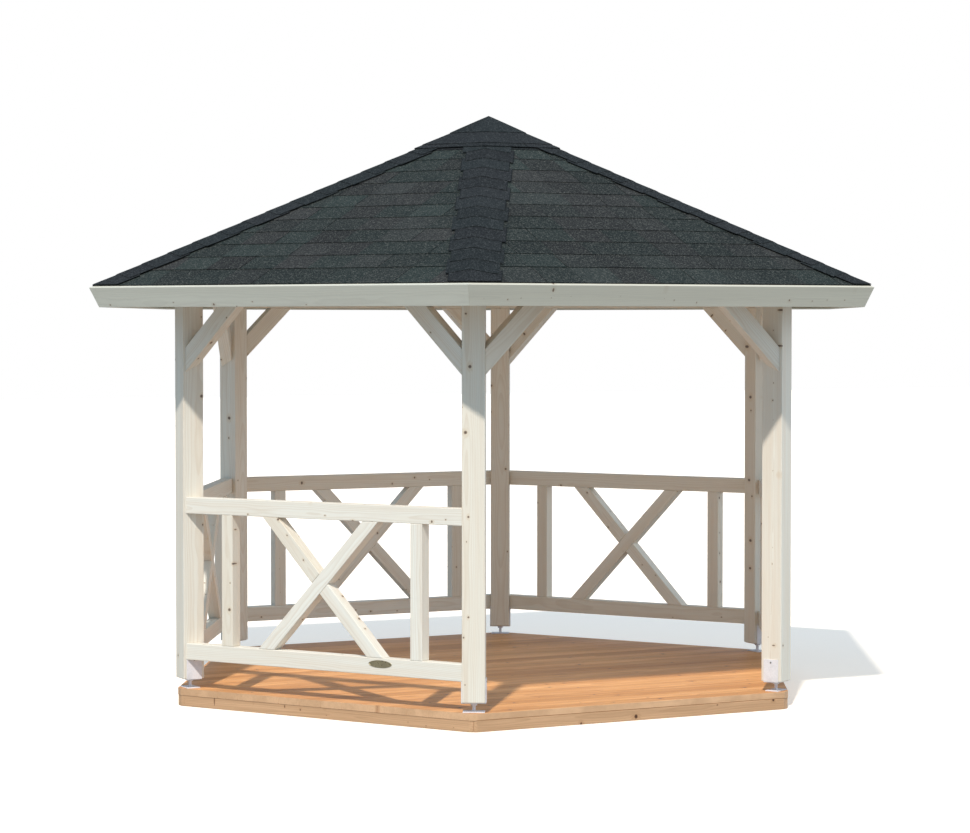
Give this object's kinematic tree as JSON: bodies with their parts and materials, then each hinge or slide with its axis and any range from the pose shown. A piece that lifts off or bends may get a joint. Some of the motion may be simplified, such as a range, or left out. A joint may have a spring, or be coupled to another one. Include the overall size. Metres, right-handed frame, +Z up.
{
  "type": "garden gazebo",
  "caption": "Hexagonal timber garden gazebo: open frame of corner posts, crossed railings, knee braces and a shingled pyramid roof over a boarded deck.",
  "frame": {"origin": "centre of the deck's underside, on the floor", "axes": "+Z up, +X through two opposite corner posts, the open entrance bay faces -Y"},
  "size_m": [4.8726, 4.2198, 3.3047],
  "materials": {
    "whitewashed_spruce": "thin white glaze over knotty spruce",
    "fascia_paint": "thin white-grey glaze",
    "larch_deck": "oiled larch",
    "roof_boards": "planed, glazed boards",
    "shingles": "mineral-granule bitumen shingles",
    "roof_caps": "mineral-granule bitumen shingles",
    "galvanised_steel": "white zinc"
  },
  "bodies": {
    "root": {"deck_frame": "larch_deck", "deck_joists": "larch_deck", "deck_floor": "larch_deck", "post_feet": "galvanised_steel", "post_entry_left": "whitewashed_spruce", "post_entry_right": "whitewashed_spruce", "post_right": "whitewashed_spruce", "post_back_right": "whitewashed_spruce", "post_back_left": "whitewashed_spruce", "post_left": "whitewashed_spruce", "railing_front_left": "whitewashed_spruce", "railing_back_left": "whitewashed_spruce", "railing_back": "whitewashed_spruce", "railing_back_right": "whitewashed_spruce", "railing_front_right": "whitewashed_spruce", "beam_front": "whitewashed_spruce", "beam_front_right": "whitewashed_spruce", "beam_back_right": "whitewashed_spruce", "beam_back": "whitewashed_spruce", "beam_back_left": "whitewashed_spruce", "beam_front_left": "whitewashed_spruce", "braces_left_hand": "whitewashed_spruce", "braces_right_hand": "whitewashed_spruce", "hip_rafters": "whitewashed_spruce", "king_block": "whitewashed_spruce", "roof_boards_front": "roof_boards", "roof_boards_front_right": "roof_boards", "roof_boards_back_right": "roof_boards", "roof_boards_back": "roof_boards", "roof_boards_back_left": "roof_boards", "roof_boards_front_left": "roof_boards", "shingles_front": "shingles", "shingles_front_right": "shingles", "shingles_back_right": "shingles", "shingles_back": "shingles", "shingles_back_left": "shingles", "shingles_front_left": "shingles", "hip_caps": "roof_caps", "apex_cap": "roof_caps", "fascia_front": "fascia_paint", "fascia_front_right": "fascia_paint", "fascia_back_right": "fascia_paint", "fascia_back": "fascia_paint", "fascia_back_left": "fascia_paint", "fascia_front_left": "fascia_paint"}
  },
  "joints": []
}
